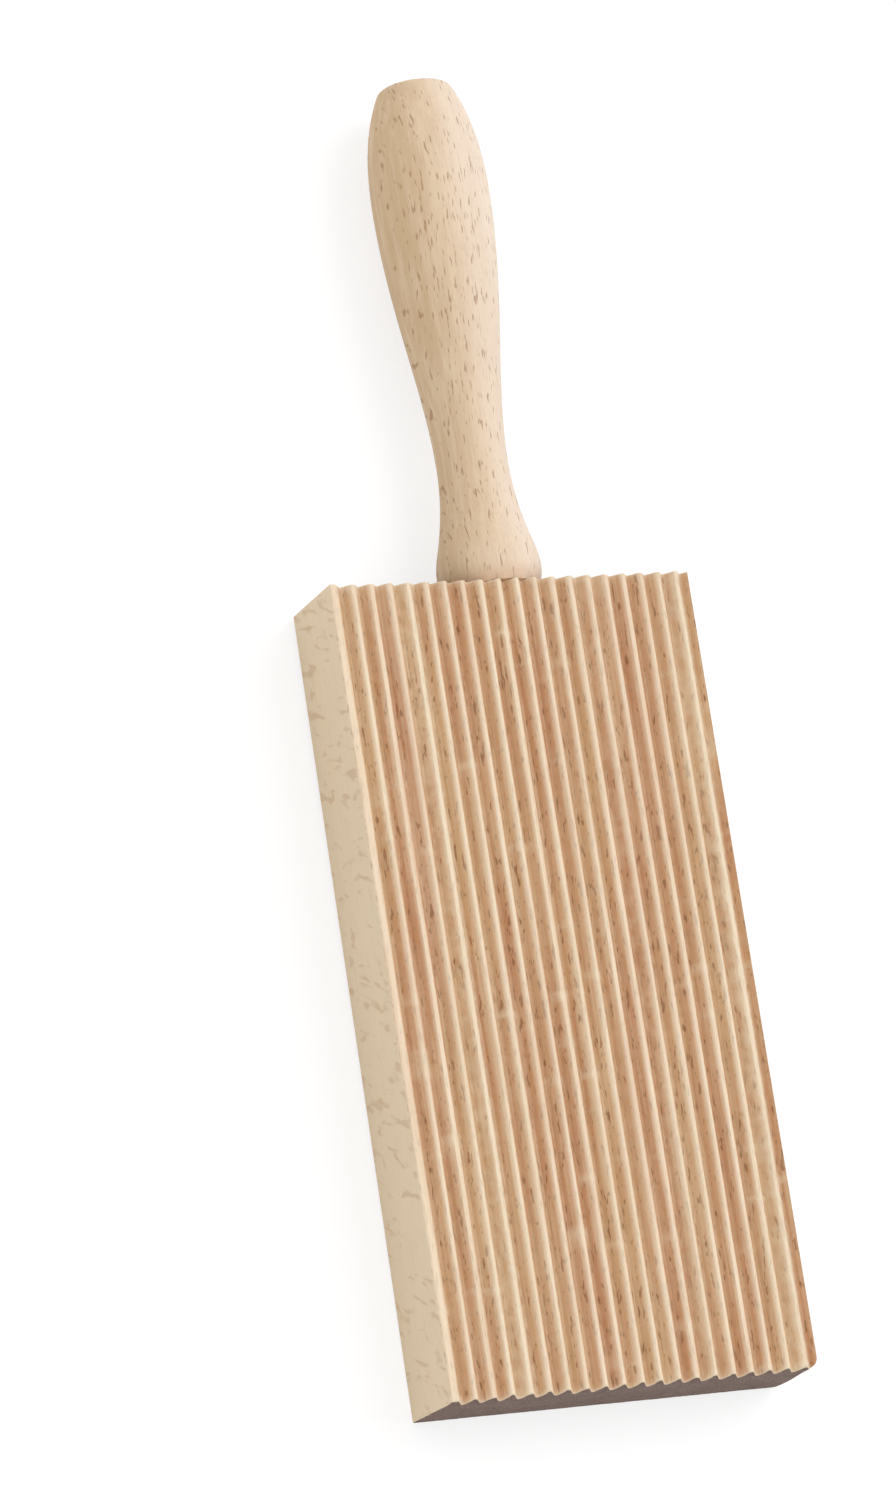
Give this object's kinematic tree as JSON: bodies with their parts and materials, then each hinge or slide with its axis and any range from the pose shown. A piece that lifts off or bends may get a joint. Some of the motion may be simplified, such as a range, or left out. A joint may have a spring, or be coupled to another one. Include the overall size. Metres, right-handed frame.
{
  "type": "gnocchi board",
  "caption": "Wooden gnocchi board: rectangular slab with fine V grooves running lengthwise over its upper face and a turned bulbous handle glued into one end",
  "frame": {"origin": "centre of the slab's flat back face, which is the plane z = 0", "axes": "+X along the grooves towards the handle's tip, +Y towards the edge with the plain strip, +Z out of the grooved face"},
  "size_m": [0.21, 0.0604, 0.0188],
  "materials": {
    "beech_slab": "raw, planed and grooved",
    "beech_turned": "raw, turned smooth"
  },
  "bodies": {
    "root": {"ridged_board": "beech_slab", "turned_handle": "beech_turned"}
  },
  "joints": []
}
